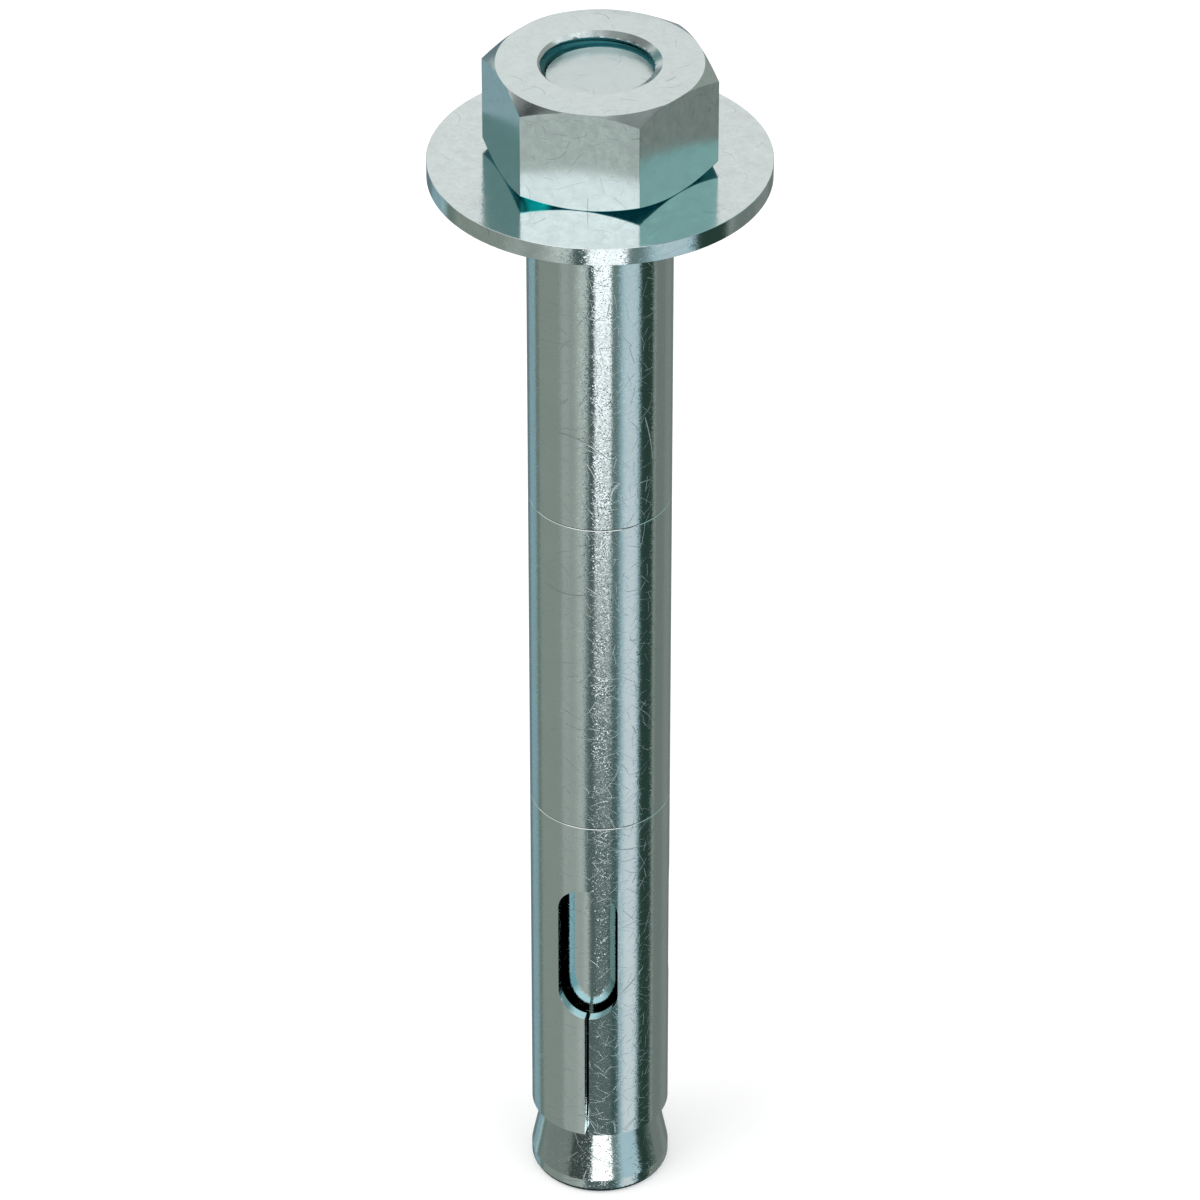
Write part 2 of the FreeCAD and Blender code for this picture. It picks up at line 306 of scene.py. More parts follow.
@dataclass
class Studio:
    """Camera, lamps, floor and surroundings, in metres and degrees.

    The camera's azimuth is counted from -Y towards +X, and its distance from the axis. It
    sees a white background, and a white floor that keeps the shadow. The metal mirrors a
    ring of pale and dark cards round and over the anchor, and a haze between them.
    """

    focal_mm: float = 199.45
    sensor_mm: float = 36.0
    clip: tuple[float, float] = (0.01, 20.0)
    camera_azimuth: float = 11.05
    camera_drop: float = 34.997
    camera_distance: float = 0.356096
    camera_height: float = 0.295893
    lamps: tuple[Lamp, ...] = (
        Lamp("key_lamp", (-0.9, -0.7, 1.5), side=1.2, power=9.0),
        Lamp("fill_lamp", (1.1, -0.5, 1.2), side=1.4, power=5.0),
    )
    aim_height: float = 0.04
    floor_size: float = 6.0
    floor_colour: Colour = (0.82, 0.82, 0.82)
    floor_lift: float = 0.27
    daylight: float = 0.80
    haze: Colour = (0.805, 0.785, 0.78)
    cards: tuple[Card, ...] = (*WALL, *CEILING)

    def build(self) -> None:
        """Make the camera, the lamps, the floor and the surroundings."""
        self.place_camera()
        for lamp in self.lamps:
            self.hang(lamp)
        self.lay_floor()
        self.surround()
        LOG.info("studio is built")

    def place_camera(self) -> None:
        """Put the camera at the photograph's viewpoint, aimed at the anchor's axis."""
        data = bpy.data.cameras.new("camera")
        data.lens = self.focal_mm
        data.sensor_width = self.sensor_mm
        data.clip_start, data.clip_end = self.clip
        turn, drop = math.radians(self.camera_azimuth), math.radians(self.camera_drop)
        camera = bpy.data.objects.new("camera", data)
        camera.location = (
            self.camera_distance * math.sin(turn),
            -self.camera_distance * math.cos(turn),
            self.camera_height,
        )
        camera.rotation_euler = (math.pi / 2 - drop, 0.0, turn)
        bpy.context.scene.collection.objects.link(camera)
        bpy.context.scene.camera = camera

    def hang(self, lamp: Lamp) -> None:
        """Hang a lamp, which gives the floor its shadow and isn't mirrored by the metal.

        Args:
            lamp: The lamp.
        """
        data = bpy.data.lights.new(lamp.name, "AREA")
        data.size = lamp.side
        data.energy = lamp.power
        hung = bpy.data.objects.new(lamp.name, data)
        hung.location = lamp.place
        aim = Vector((0.0, 0.0, self.aim_height)) - Vector(lamp.place)
        hung.rotation_mode = "QUATERNION"
        hung.rotation_quaternion = aim.to_track_quat("-Z", "Y")
        hung.visible_glossy = False
        bpy.context.scene.collection.objects.link(hung)

    def lay_floor(self) -> None:
        """Lay the floor, which the metal doesn't mirror."""
        half = self.floor_size / 2
        mesh = bpy.data.meshes.new("floor")
        corners = [(-half, -half, 0.0), (half, -half, 0.0), (half, half, 0.0), (-half, half, 0.0)]
        mesh.from_pydata(corners, [], [(0, 1, 2, 3)])
        mesh.materials.append(self.floor_paper())
        floor = bpy.data.objects.new("floor", mesh)
        floor.visible_glossy = False
        bpy.context.scene.collection.objects.link(floor)

    def floor_paper(self) -> bpy.types.Material:
        """Build the floor's paper, pale to the camera and clear from below.

        Returns:
            The material.
        """
        material = bpy.data.materials.new("floor_paper")
        wiring = Wiring.of(material)
        seen = wiring.node("ShaderNodeLightPath").outputs["Is Camera Ray"]
        paper = wiring.node("ShaderNodeBsdfDiffuse", {"Color": rgba(self.floor_colour)})
        lift = wiring.node(
            "ShaderNodeEmission", {"Strength": wiring.math("MULTIPLY", seen, self.floor_lift)}
        )
        both = wiring.node("ShaderNodeAddShader", {0: paper.outputs[0], 1: lift.outputs[0]})
        below = wiring.node("ShaderNodeNewGeometry").outputs["Backfacing"]
        clear = wiring.node("ShaderNodeBsdfTransparent").outputs[0]
        sheet = wiring.node("ShaderNodeMixShader", {0: below, 1: both.outputs[0], 2: clear})
        wiring.node("ShaderNodeOutputMaterial", {"Surface": sheet.outputs[0]})
        return material

    def surround(self) -> None:
        """Paint the surroundings: white for the camera, cards for the metal, else a plain grey."""
        world = bpy.data.worlds.new("studio")
        bpy.context.scene.world = world
        wiring = Wiring.of(world)
        path = wiring.node("ShaderNodeLightPath").outputs
        white = rgba((1.0, 1.0, 1.0))
        plain = wiring.blend(path["Is Camera Ray"], rgba((self.daylight,) * 3), white)
        plain = wiring.blend(path["Is Transmission Ray"], plain, white)
        room = wiring.node("ShaderNodeBackground", {"Color": plain}).outputs[0]
        cards = wiring.node("ShaderNodeBackground", {"Color": self.mirrored(wiring)}).outputs[0]
        shown = wiring.node("ShaderNodeMixShader", {0: path["Is Glossy Ray"], 1: room, 2: cards})
        wiring.node("ShaderNodeOutputWorld", {"Surface": shown.outputs[0]})

    def mirrored(self, wiring: Wiring) -> Socket:
        """Work out the colour that the metal sees in each direction.

        The azimuth is the arc tangent of the direction's parts across the picture and
        towards the camera, and the height the arc sine of its upward part.

        Args:
            wiring: The world's wiring.

        Returns:
            The socket of the cards' colour.
        """
        direction = wiring.node("ShaderNodeTexCoord").outputs["Generated"]
        turn = math.radians(self.camera_azimuth)
        across = wiring.vector("DOT_PRODUCT", direction, (math.cos(turn), math.sin(turn), 0.0))
        towards = wiring.vector("DOT_PRODUCT", direction, (math.sin(turn), -math.cos(turn), 0.0))
        upwards = wiring.vector("DOT_PRODUCT", direction, (0.0, 0.0, 1.0))
        angles = {
            "Azimuth": wiring.math("DEGREES", wiring.math("ARCTAN2", across, towards)),
            "Height": wiring.math("DEGREES", wiring.math("ARCSINE", upwards)),
        }
        mask = self.card_mask()
        seen = rgba(self.haze)
        for card in self.cards:
            share = wiring.use(mask, {**angles, **card.inputs()}).outputs["Mask"]
            seen = wiring.blend(share, seen, rgba(card.colour))
        return seen

    def card_mask(self) -> bpy.types.NodeTree:
        """Build the node group that says how far a direction lies on one card.

        Returns:
            The group, with soft edges all round the card.
        """
        angle = "NodeSocketFloat"
        names = ("Azimuth", "Height", "Left", "Right", "Low", "High", "Side Blur", "End Blur")
        wiring = Wiring.group("card_mask", dict.fromkeys(names, angle), {"Mask": angle})
        given = wiring.node("NodeGroupInput").outputs
        shares = []
        for value, start, end, blur in (
            ("Azimuth", "Left", "Right", "Side Blur"),
            ("Height", "Low", "High", "End Blur"),
        ):
            half = wiring.math("MULTIPLY", given[blur], 0.5)
            for edge, inwards, outwards in ((start, "ADD", "SUBTRACT"), (end, "SUBTRACT", "ADD")):
                outer = wiring.math(outwards, given[edge], half)
                inner = wiring.math(inwards, given[edge], half)
                shares.append(wiring.between(given[value], outer, inner))
        wiring.node("NodeGroupOutput", {"Mask": wiring.product(*shares)})
        return wiring.tree


class Mark(Enum):
    """The kinds of scratch on the zinc, each with the salt that makes its own pattern."""

    FELT = 3.1
    HAIRLINE = 11.7
    SCORE = 23.9
    CURL = 41.3
    BRUSH = 57.9


@dataclass(frozen=True)
class Scratches:
    """One family of scratches, in millimetres.

    Each cell of a random honeycomb holds at most one scratch: a short arc of a large
    circle, where the piece's surface cuts a thin shell round a random centre. The spacing
    is the cells' size, the bend the shell's radius and the share that of the cells with a
    scratch. The dulling is added to the roughness and the dirt taken from the colour.
    """

    mark: Mark
    spacing: float
    length: float
    width: float
    bend: float
    share: float
    dulling: float
    depth: float = 0.0
    dirt: float = 0.0

    def inputs(self, salt: float) -> dict[str, float]:
        """The family's values, by the names of the scratch group's inputs.

        Args:
            salt: The finish's own shift of the pattern.

        Returns:
            The value for each input but the position.
        """
        return {
            "Salt": self.mark.value + salt,
            "Spacing": self.spacing,
            "Length": self.length,
            "Width": self.width,
            "Bend": self.bend,
            "Share": self.share,
        }


class FinishGroups:
    """The node groups that every zinc finish shares."""

    # The clouds' fineness and the weight of their finer waves.
    CLOUD_DETAIL = 8.0
    CLOUD_ROUGHNESS = 0.72

    # The power of chance that a facet leans by: the higher, the fewer facets lean much.
    LEAN_POWER = 1.5

    # The shares of its length, from the middle, where a scratch starts to fade and ends.
    FADE_START = 0.3
    FADE_END = 0.5

    # The force of the faintest scratch, where the strongest has 1.
    LEAST_FORCE = 0.3

    def __init__(self) -> None:
        """Build both groups."""
        self.clouds = self.build_clouds()
        self.scratches = self.build_scratches()

    @staticmethod
    def shrink(wiring: Wiring, position: Socket, unit: Socket) -> Socket:
        """The position counted in units of a length."""
        return wiring.vector("SCALE", position, scale=wiring.math("DIVIDE", 1.0, unit))

    @staticmethod
    def honeycomb(
        wiring: Wiring, place: Socket
    ) -> tuple[bpy.types.NodeOutputs, bpy.types.NodeOutputs, Socket]:
        """Divide space into random cells of about one unit.

        Args:
            wiring: The group's wiring.
            place: The position, in cells.

        Returns:
            The cell's outputs, its random outputs, and a random vector of its own round 0.
        """
        cell = wiring.node("ShaderNodeTexVoronoi", {"Vector": place, "Scale": 1.0}).outputs
        chance = wiring.node("ShaderNodeTexWhiteNoise", {"Vector": cell["Position"]}).outputs
        aside = wiring.vector("SUBTRACT", chance["Color"], (0.5, 0.5, 0.5))
        return cell, chance, aside

    def build_clouds(self) -> bpy.types.NodeTree:
        """Build the cloudiness of the plating and its fine grain.

        The grain is made of tiny facets, one in each cell of a random honeycomb. Each
        facet leans its own way, a few of them strongly and most hardly at all.

        Returns:
            The group, which puts out the cloud's level and the facet's lean.
        """
        number = "NodeSocketFloat"
        wiring = Wiring.group(
            "plating_clouds",
            {"Position": "NodeSocketVector", "Size": number, "Grain Size": number},
            {"Cloud": number, "Lean": "NodeSocketVector"},
        )
        given = wiring.node("NodeGroupInput").outputs
        cloud = wiring.node(
            "ShaderNodeTexNoise",
            {
                "Vector": given["Position"],
                "Scale": wiring.math("DIVIDE", 1.0, given["Size"]),
                "Detail": self.CLOUD_DETAIL,
                "Roughness": self.CLOUD_ROUGHNESS,
            },
        )
        facets = self.shrink(wiring, given["Position"], given["Grain Size"])
        _, chance, aside = self.honeycomb(wiring, facets)
        force = wiring.math("POWER", chance["Value"], self.LEAN_POWER)
        lean = wiring.vector("SCALE", aside, scale=force)
        wiring.node("NodeGroupOutput", {"Cloud": cloud.outputs[0], "Lean": lean})
        return wiring.tree

    def build_scratches(self) -> bpy.types.NodeTree:
        """Build the scratch pattern: a thin shell round a random centre in each cell.

        Returns:
            The group, which puts out the mask of the scratches.
        """
        number = "NodeSocketFloat"
        names = ("Salt", "Spacing", "Length", "Width", "Bend", "Share")
        wiring = Wiring.group(
            "scratches",
            {"Position": "NodeSocketVector", **dict.fromkeys(names, number)},
            {"Mask": number},
        )
        given = wiring.node("NodeGroupInput").outputs
        cells = self.shrink(wiring, given["Position"], given["Spacing"])
        cells = wiring.vector("ADD", cells, wiring.triple(given["Salt"]))
        cell, chance, aside = self.honeycomb(wiring, cells)
        local = wiring.vector("SUBTRACT", cells, cell["Position"])
        local = wiring.vector("SCALE", local, scale=given["Spacing"])
        centre = wiring.vector("SCALE", wiring.vector("NORMALIZE", aside), scale=given["Bend"])
        reach = wiring.vector("LENGTH", wiring.vector("SUBTRACT", local, centre))
        away = wiring.math("ABSOLUTE", wiring.math("SUBTRACT", reach, given["Bend"]))
        line = wiring.between(away, wiring.math("MULTIPLY", given["Width"], 0.5), 0.0)
        ends = wiring.between(
            wiring.vector("LENGTH", local),
            wiring.math("MULTIPLY", given["Length"], self.FADE_END),
            wiring.math("MULTIPLY", given["Length"], self.FADE_START),
        )
        kept = wiring.math("LESS_THAN", chance["Value"], given["Share"])
        luck = wiring.node("ShaderNodeSeparateColor", {0: cell["Color"]}).outputs[0]
        force = wiring.between(luck, 0.0, 1.0, self.LEAST_FORCE, 1.0)
        wiring.node("NodeGroupOutput", {"Mask": wiring.product(line, ends, kept, force)})
        return wiring.tree


@dataclass(frozen=True)
class ZincFinish:
    """Bright zinc over steel: its colour, its cloudiness, its grain and its scratches.

    Where the clouds are dense the plating is lighter and smoother, and the facets of its
    grain lean fully; between the clouds they lean least. The gain is for places with a
    coarse grain, the matt roughness for cut ones. The salt shifts the scratches' patterns.
    """

    name: str
    colour: Colour = (0.74, 0.84, 0.835)
    cloud_mm: float = 3.0
    cloud_depth: float = 0.025
    cloud_range: tuple[float, float] = (0.25, 0.75)
    roughness: float = 0.12
    roughness_spread: float = 0.03
    grain_mm: float = 0.07
    grain_slope: float = 0.2
    grain_range: tuple[float, float] = (0.35, 0.65)
    least_grain: float = 0.35
    coarse_gain: float = 1.5
    matt_roughness: float = 0.2
    scratches: tuple[Scratches, ...] = ()
    salt: float = 0.0

    def material(
        self,
        groups: FinishGroups,
        painted_light_and_shade: tuple[tuple[Mask, Colour], ...] = (),
        matt: Mask | None = None,
        coarse: Mask | None = None,
    ) -> bpy.types.Material:
        """Build the finish as a material.

        Args:
            groups: The shared node groups.
            painted_light_and_shade: Masks of painted shade and painted light, each with the
                colour painted there. A later one covers an earlier one.
            matt: Masks the places that are cut and not rolled, which mirror less.
            coarse: Masks the places with a coarse grain.

        Returns:
            The material, on Object coordinates.
        """
        material = bpy.data.materials.new(self.name)
        wiring = Wiring.of(material)
        position = wiring.node("ShaderNodeTexCoord").outputs["Object"]
        place = wiring.vector("SCALE", position, scale=PER_METRE)
        sizes = {"Size": self.cloud_mm, "Grain Size": self.grain_mm}
        clouds = wiring.use(groups.clouds, {"Position": place, **sizes}).outputs
        shade = wiring.between(
            clouds["Cloud"], *self.cloud_range, 1.0 - self.cloud_depth, 1.0 + self.cloud_depth
        )
        dull = self.roughness + self.roughness_spread
        bright = self.roughness - self.roughness_spread
        rough = wiring.between(clouds["Cloud"], *self.cloud_range, dull, bright)
        depth = 0.0
        for family in self.scratches:
            inputs = {"Position": place, **family.inputs(self.salt)}
            lines = wiring.use(groups.scratches, inputs).outputs["Mask"]
            rough = wiring.math("MULTIPLY_ADD", lines, family.dulling, rough)
            if family.depth:
                depth = wiring.math("MULTIPLY_ADD", lines, -family.depth, depth)
            if family.dirt:
                shade = wiring.math("MULTIPLY_ADD", lines, -family.dirt, shade)
        if matt is not None:
            rough = wiring.math("MULTIPLY_ADD", matt(wiring, place), self.matt_roughness, rough)
        colour = wiring.vector("SCALE", self.colour, scale=shade)
        # Painted shade and painted light: each mask lays its colour over the zinc.
        for painted_place, painted_colour in painted_light_and_shade:
            colour = wiring.blend(painted_place(wiring, place), colour, rgba(painted_colour))
        coarseness = None if coarse is None else coarse(wiring, place)
        normal = self.facets(wiring, clouds, coarseness)
        if isinstance(depth, Socket):
            relief = {"Strength": 1.0, "Distance": MM, "Height": depth, "Normal": normal}
            normal = wiring.node("ShaderNodeBump", relief).outputs["Normal"]
        skin = wiring.node(
            "ShaderNodeBsdfPrincipled",
            {"Base Color": colour, "Metallic": 1.0, "Roughness": rough, "Normal": normal},
        )
        wiring.node("ShaderNodeOutputMaterial", {"Surface": skin.outputs[0]})
        return material

    def facets(
        self, wiring: Wiring, clouds: bpy.types.NodeOutputs, coarse: Socket | None
    ) -> Socket:
        """Lean the surface's normal by the facets of the grain.

        Args:
            wiring: The material's wiring.
            clouds: The outputs of the cloud group.
            coarse: The mask of the coarse grain, where there is any.

        Returns:
            The socket of the leaning normal.
        """
        slope = wiring.between(clouds["Cloud"], *self.grain_range, self.least_grain, 1.0)
        slope = wiring.math("MULTIPLY", slope, self.grain_slope)
        if coarse is not None:
            gain = wiring.math("MULTIPLY_ADD", coarse, self.coarse_gain - 1.0, 1.0)
            slope = wiring.math("MULTIPLY", slope, gain)
        normal = wiring.node("ShaderNodeNewGeometry").outputs["Normal"]
        leaning = wiring.vector("MULTIPLY_ADD", clouds["Lean"], wiring.triple(slope), normal)
        return wiring.vector("NORMALIZE", leaning)


FELT = Scratches(
    Mark.FELT, spacing=0.8, length=1.3, width=0.045, bend=6.0, share=0.9, depth=0.002, dulling=0.4
)
BRUSH = Scratches(
    Mark.BRUSH, spacing=0.9, length=1.6, width=0.04, bend=9.0, share=0.85, depth=0.002, dulling=0.4
)
HAIRLINE = Scratches(
    Mark.HAIRLINE, spacing=1.2, length=1.9, width=0.05, bend=12.0, share=0.75, depth=0.004,
    dulling=0.4,
)
SCORE = Scratches(
    Mark.SCORE, spacing=4.2, length=4.6, width=0.07, bend=20.0, share=0.6, depth=0.01, dulling=0.35
)
SCUFF = Scratches(
    Mark.FELT, spacing=0.6, length=0.8, width=0.08, bend=2.0, share=0.85, dulling=0.05, dirt=0.1
)
CURL = Scratches(
    Mark.CURL, spacing=2.0, length=1.8, width=0.05, bend=1.2, share=0.5, dulling=0.06, dirt=0.5
)
TRACE = Scratches(
    Mark.HAIRLINE, spacing=1.3, length=1.5, width=0.04, bend=9.0, share=0.6, dulling=0.06,
    dirt=0.42,
)

SLEEVE_ZINC = ZincFinish(
    "sleeve_zinc", grain_slope=0.125, scratches=(FELT, BRUSH, HAIRLINE, SCORE)
)
STUD_ZINC = ZincFinish(
    "stud_zinc", grain_slope=0.16, scratches=(HAIRLINE, TRACE, CURL), salt=2.9
)
WASHER_ZINC = ZincFinish(
    "washer_zinc", cloud_mm=0.8, cloud_depth=0.08, grain_slope=0.07,
    scratches=(SCUFF, CURL, TRACE), salt=5.3,
)
NUT_ZINC = ZincFinish(
    "nut_zinc", cloud_mm=0.7, cloud_depth=0.04, roughness=0.18, grain_slope=0.05,
    scratches=(SCUFF, CURL, TRACE),
)


def dress(node: str, material: bpy.types.Material) -> None:
    """Give one CAD node its finish.

    Args:
        node: The node's name.
        material: The finish.
    """
    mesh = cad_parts[node].data
    mesh.materials.clear()
    mesh.materials.append(material)
    LOG.info("%s wears %s", node, material.name)


def make_piece(
    name: str, points: np.ndarray, faces: np.ndarray, material: bpy.types.Material, sharp: float
) -> bpy.types.Object:
    """Make an object from points and triangles.

    Points that coincide are welded, and triangles without area are left out.

    Args:
        name: The piece's name.
        points: Positions in millimetres, one row each.
        faces: Point numbers, three in each row.
        material: The finish.
        sharp: The angle in degrees past which an edge stays sharp.

    Returns:
        The object, at the origin.
    """
    _, first, back = np.unique(
        np.round(points, 5), axis=0, return_index=True, return_inverse=True
    )
    faces = back.reshape(-1)[faces]
    good = (faces != np.roll(faces, 1, axis=1)).all(axis=1)
    mesh = bpy.data.meshes.new(name)
    mesh.from_pydata((points[first] * MM).tolist(), [], faces[good].tolist())
    mesh.shade_smooth()
    mesh.set_sharp_from_angle(angle=math.radians(sharp))
    mesh.materials.append(material)
    piece = bpy.data.objects.new(name, mesh)
    bpy.context.scene.collection.objects.link(piece)
    LOG.info("%s: %d triangles", name, int(good.sum()))
    return piece


def grid_triangles(rows: int, columns: int) -> np.ndarray:
    """Join a grid of points, numbered row by row, with two triangles in each cell.

    Args:
        rows: How many rows of points there are.
        columns: How many points a row has.

    Returns:
        The point numbers, three in each row.
    """
    row, column = np.meshgrid(np.arange(rows - 1), np.arange(columns - 1), indexing="ij")
    corner = (row * columns + column).ravel()
    one = np.stack((corner, corner + 1, corner + columns + 1), axis=1)
    two = np.stack((corner, corner + columns + 1, corner + columns), axis=1)
    return np.concatenate((one, two))


def round_axis(radii: np.ndarray, angles: np.ndarray, heights: np.ndarray) -> np.ndarray:
    """Points of radius r, angle a and height z: r cos a, r sin a and z."""
    return np.stack((radii * np.cos(angles), radii * np.sin(angles), heights), axis=2)


@dataclass
class ScrewThread:
    """The metric coarse thread that the stud and the nut share, in millimetres."""

    pitch: float = 1.25
    flank_angle: float = 30.0
    crest_width: float = 0.156
    crest_radius: float = 3.83
    clearance: float = 0.05

    @property
    def flank_slope(self) -> float:
        """Run of a flank along the axis for each millimetre of its depth."""
        return math.tan(math.radians(self.flank_angle))


@dataclass
class Stud:
    """The expander stud: its turned body from the CAD, and the rolled thread round its upper end.

    The ridge sinks a little into the body's core. Its crest rises and falls over the run-in
    and the run-out, and the crest's edges are broken by a share of its half width.
    """

    thread: ScrewThread = field(default_factory=ScrewThread)
    core_radius: float = 3.37
    sink: float = 0.04
    start_height: float = 57.16
    end_height: float = 86.01
    run_in_turns: float = 0.75
    run_out_turns: float = 0.4
    steps_per_turn: int = 96
    crest_break: float = 0.25
    smooth_angle: float = 25.0
    top_height: float = 86.335
    end_fade: Fade = (-0.02, -0.005)
    cone_top: float = 7.3
    cone_fade: Fade = (0.0, -0.6)

    def build(self, groups: FinishGroups) -> None:
        """Dress the stud and put the thread on it.

        Args:
            groups: The shared node groups.
        """
        material = STUD_ZINC.material(groups, matt=self.cut_end, coarse=self.turned_cone)
        dress("expander_stud", material)
        points, faces = self.ridge()
        ridge = make_piece("stud_thread", points, faces, material, self.smooth_angle)
        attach(ridge, "stud")

    def cut_end(self, wiring: Wiring, place: Socket) -> Socket:
        """Mask of the sawn end face."""
        return wiring.fade(wiring.parts(place)["Z"], self.top_height, self.end_fade)

    def turned_cone(self, wiring: Wiring, place: Socket) -> Socket:
        """Mask of the turned cone and the land under it."""
        return wiring.fade(wiring.parts(place)["Z"], self.cone_top, self.cone_fade)

    def section(self, rise: np.ndarray) -> tuple[np.ndarray, np.ndarray]:
        """Work out the ridge's section: a flat-topped wedge that stands on the core.

        Args:
            rise: The share of the ridge's full height, one for each section.

        Returns:
            The radii and the offsets along the axis, six in each row.
        """
        root = self.core_radius - self.sink
        foot = np.full_like(rise, root)
        crest = root + (self.thread.crest_radius - root) * rise
        half = np.full_like(rise, self.thread.crest_width / 2)
        soft = self.crest_break * half
        broken = crest - soft * rise
        reach = half + (crest - root) * self.thread.flank_slope
        radii = np.stack((foot, broken, crest, crest, broken, foot), axis=1)
        offsets = np.stack((-reach, -half, soft - half, half - soft, half, reach), axis=1)
        return radii, offsets

    def ridge(self) -> tuple[np.ndarray, np.ndarray]:
        """Carry the thread's section along its helix.

        At turn t the section's middle is at the angle of t turns and at height t times the
        pitch. The section's rise follows a smooth step at both ends, over the run-in and
        the run-out, and each end is closed by a fan of triangles.

        Returns:
            The points and the triangles.
        """
        pitch = self.thread.pitch
        first, last = self.start_height / pitch, self.end_height / pitch
        turns = np.linspace(first, last, int((last - first) * self.steps_per_turn) + 1)
        rise = np.minimum((turns - first) / self.run_in_turns, (last - turns) / self.run_out_turns)
        rise = np.clip(rise, 0.0, 1.0)
        rise = rise * rise * (3.0 - 2.0 * rise)
        radii, offsets = self.section(rise)
        points = round_axis(
            radii, (math.tau * turns)[:, None], (turns * pitch)[:, None] + offsets
        )
        closed = np.concatenate((points, points[:, :1]), axis=1)
        rows, columns = closed.shape[:2]
        sides = grid_triangles(rows, columns)[:, ::-1]
        fan = np.arange(1, columns - 2)
        start = np.stack((np.zeros_like(fan), fan, fan + 1), axis=1)
        end = start[:, (0, 2, 1)] + (rows - 1) * columns
        return closed.reshape(-1, 3), np.concatenate((sides, start, end))


